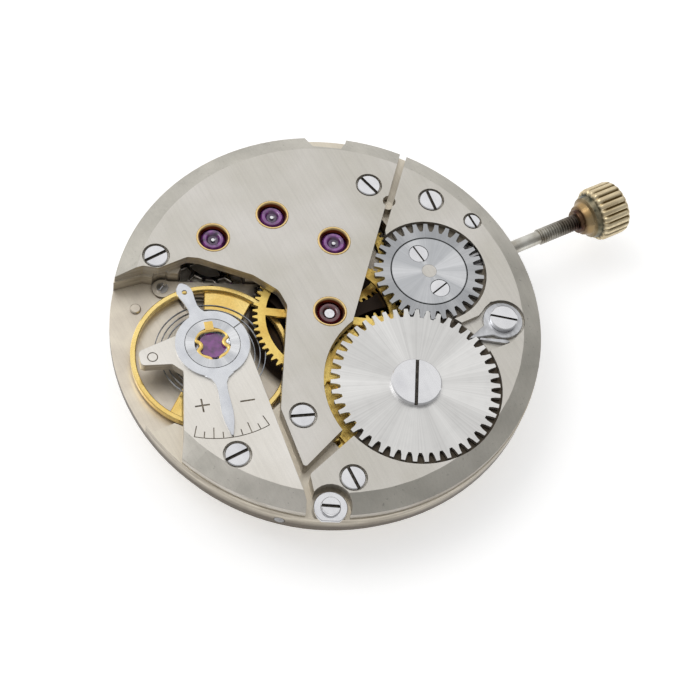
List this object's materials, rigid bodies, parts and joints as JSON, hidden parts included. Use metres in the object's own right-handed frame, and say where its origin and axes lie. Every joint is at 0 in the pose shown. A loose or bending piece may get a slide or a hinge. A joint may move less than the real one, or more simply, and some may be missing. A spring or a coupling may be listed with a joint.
{
  "type": "mechanical watch movement",
  "caption": "Round hand-wound watch movement with finger bridges, open winding wheels, going train, lever escapement, balance with regulator, keyless works and winding crown.",
  "frame": {"origin": "centre of the movement, on the dial seat of the main plate", "axes": "+Z from the dial seat towards the bridges, +X outwards along the winding stem, +Y towards the small seconds pivot"},
  "size_m": [0.0339, 0.0256, 0.0053],
  "materials": {
    "nickelled_brass": "nickel plated, fine grained",
    "gilt_brass": "gilt, satin",
    "steel_wheel": "sunray brushed",
    "polished_steel": "polished",
    "tool_steel": "satin",
    "ruby": "polished",
    "gilt_crown": "worn gilt"
  },
  "bodies": {
    "movement": {"main_plate": "nickelled_brass", "train_bridge": "nickelled_brass", "barrel_bridge": "nickelled_brass", "balance_cock": "nickelled_brass", "pallet_bridge": "nickelled_brass", "bridge_screws": "polished_steel", "small_screws": "polished_steel", "case_screw": "polished_steel", "dial_foot_screws": "polished_steel", "steady_pins": "polished_steel", "chatons": "gilt_brass", "upper_jewels": "ruby", "lower_jewels": "ruby", "shock_blocks": "steel_wheel", "shock_jewels": "ruby", "shock_springs": "gilt_brass", "crown_wheel_core": "steel_wheel", "crown_wheel_screws": "polished_steel", "click_screw": "polished_steel", "click_spring": "tool_steel", "yoke_spring": "tool_steel", "setting_lever_jumper": "tool_steel", "hairspring_stud": "polished_steel", "hairspring": "tool_steel"},
    "winding_set": {"winding_pinion": "tool_steel"},
    "stem": {"winding_stem": "tool_steel", "crown": "gilt_crown"},
    "clutch": {"sliding_pinion": "tool_steel"},
    "setting_lever_set": {"setting_lever": "tool_steel", "setting_lever_screw": "polished_steel"},
    "yoke_lever": {"yoke": "tool_steel"},
    "crown_wheel_set": {"crown_wheel": "steel_wheel"},
    "ratchet_set": {"ratchet_wheel": "steel_wheel", "ratchet_screw": "polished_steel", "barrel_arbor": "tool_steel"},
    "click_lever": {"click": "steel_wheel"},
    "barrel": {"barrel_drum": "gilt_brass", "barrel_lid": "gilt_brass", "mainspring": "tool_steel"},
    "centre_set": {"centre_wheel": "gilt_brass", "centre_pinion": "tool_steel", "cannon_pinion": "tool_steel"},
    "third_set": {"third_wheel": "gilt_brass", "third_pinion": "tool_steel"},
    "fourth_set": {"fourth_wheel": "gilt_brass", "fourth_pinion": "tool_steel"},
    "escape_set": {"escape_wheel": "tool_steel", "escape_pinion": "tool_steel"},
    "pallet": {"pallet_fork": "tool_steel", "pallet_stones": "ruby", "pallet_staff": "tool_steel"},
    "balance": {"balance_wheel": "gilt_brass", "balance_staff": "tool_steel", "roller": "tool_steel", "impulse_jewel": "ruby"},
    "index": {"regulator": "steel_wheel"},
    "minute_set": {"minute_wheel": "gilt_brass"},
    "hour_set": {"hour_wheel": "gilt_brass"},
    "setting_set": {"setting_wheel": "tool_steel"}
  },
  "joints": [
    {"name": "winding", "type": "hinge", "parent": "movement", "child": "winding_set", "pos_m": [0.009, 0, 0.0021], "axis": [1, 0, 0], "continuous": true},
    {"name": "crown_pull", "type": "slide", "parent": "winding_set", "child": "stem", "axis": [1, 0, 0], "range_m": [0, 0.0008]},
    {"name": "clutch_slide", "type": "slide", "parent": "winding_set", "child": "clutch", "axis": [1, 0, 0], "range_m": [-0.0007, 0]},
    {"name": "setting_lever_pivot", "type": "hinge", "parent": "movement", "child": "setting_lever_set", "pos_m": [0.01104, 0.00202, 0.00034], "axis": [0, 0, 1], "range_deg": [0, 22.92]},
    {"name": "yoke_pivot", "type": "hinge", "parent": "movement", "child": "yoke_lever", "pos_m": [0.0082, -0.0033, 0.00034], "axis": [0, 0, 1], "range_deg": [0, 12.41], "deforming": ["yoke_spring"]},
    {"name": "crown_wheel_turn", "type": "hinge", "parent": "movement", "child": "crown_wheel_set", "pos_m": [0.0068, 0, 0.00347], "axis": [0, 0, 1], "continuous": true},
    {"name": "ratchet_turn", "type": "hinge", "parent": "movement", "child": "ratchet_set", "pos_m": [0.0023, -0.0063, 0.00347], "axis": [0, 0, 1], "continuous": true},
    {"name": "click_pivot", "type": "hinge", "parent": "movement", "child": "click_lever", "pos_m": [0.00921, -0.00476, 0.00341], "axis": [0, 0, 1], "range_deg": [-19, 0], "stiffness_Nm_per_rad": 0.0005, "deforming": ["click_spring"]},
    {"name": "fourth_run", "type": "hinge", "parent": "movement", "child": "fourth_set", "pos_m": [-0.00005, 0.00735, 0.00219], "axis": [0, 0, 1], "continuous": true},
    {"name": "third_run", "type": "hinge", "parent": "movement", "child": "third_set", "pos_m": [0.00253, 0.0042, 0.00177], "axis": [0, 0, 1], "continuous": true},
    {"name": "centre_run", "type": "hinge", "parent": "movement", "child": "centre_set", "pos_m": [0, 0, 0.00272], "axis": [0, 0, 1], "continuous": true},
    {"name": "barrel_run", "type": "hinge", "parent": "movement", "child": "barrel", "pos_m": [0.0023, -0.0063, 0.002], "axis": [0, 0, 1], "continuous": true},
    {"name": "escape_run", "type": "hinge", "parent": "movement", "child": "escape_set", "pos_m": [-0.004, 0.00735, 0.00147], "axis": [0, 0, 1], "continuous": true},
    {"name": "minute_run", "type": "hinge", "parent": "movement", "child": "minute_set", "pos_m": [0.00225, 0.00183, 0.00055], "axis": [0, 0, 1], "continuous": true},
    {"name": "hour_run", "type": "hinge", "parent": "movement", "child": "hour_set", "pos_m": [0, 0, 0.00024], "axis": [0, 0, 1], "continuous": true},
    {"name": "setting_run", "type": "hinge", "parent": "movement", "child": "setting_set", "pos_m": [0.00495, 0, 0.0008], "axis": [0, 0, 1], "continuous": true},
    {"name": "pallet_swing", "type": "hinge", "parent": "movement", "child": "pallet", "pos_m": [-0.00516, 0.00502, 0.00145], "axis": [0, 0, 1], "range_deg": [-5.5, 5.5]},
    {"name": "balance_swing", "type": "hinge", "parent": "movement", "child": "balance", "pos_m": [-0.00725, 0.00085, 0.00206], "axis": [0, 0, 1], "range_deg": [-270, 270], "stiffness_Nm_per_rad": 0.00000025, "deforming": ["hairspring"]},
    {"name": "regulator_turn", "type": "hinge", "parent": "movement", "child": "index", "pos_m": [-0.00725, 0.00085, 0.00368], "axis": [0, 0, 1], "range_deg": [-10, 10]}
  ],
  "couplings": [
    {"joint": "clutch_slide", "follows": "crown_pull", "ratio": -0.875},
    {"joint": "setting_lever_pivot", "follows": "crown_pull", "rad_per_m": 500},
    {"joint": "yoke_pivot", "follows": "crown_pull", "rad_per_m": 270.8},
    {"joint": "crown_wheel_turn", "follows": "winding", "ratio": -0.43333},
    {"joint": "ratchet_turn", "follows": "winding", "ratio": 0.28261},
    {"joint": "centre_run", "follows": "fourth_run", "ratio": 0.016667},
    {"joint": "third_run", "follows": "fourth_run", "ratio": -0.13333},
    {"joint": "barrel_run", "follows": "fourth_run", "ratio": -0.0033333},
    {"joint": "escape_run", "follows": "fourth_run", "ratio": -10},
    {"joint": "minute_run", "follows": "fourth_run", "ratio": -0.0055556},
    {"joint": "hour_run", "follows": "fourth_run", "ratio": 0.0013889},
    {"joint": "setting_run", "follows": "fourth_run", "ratio": 0.011111}
  ]
}
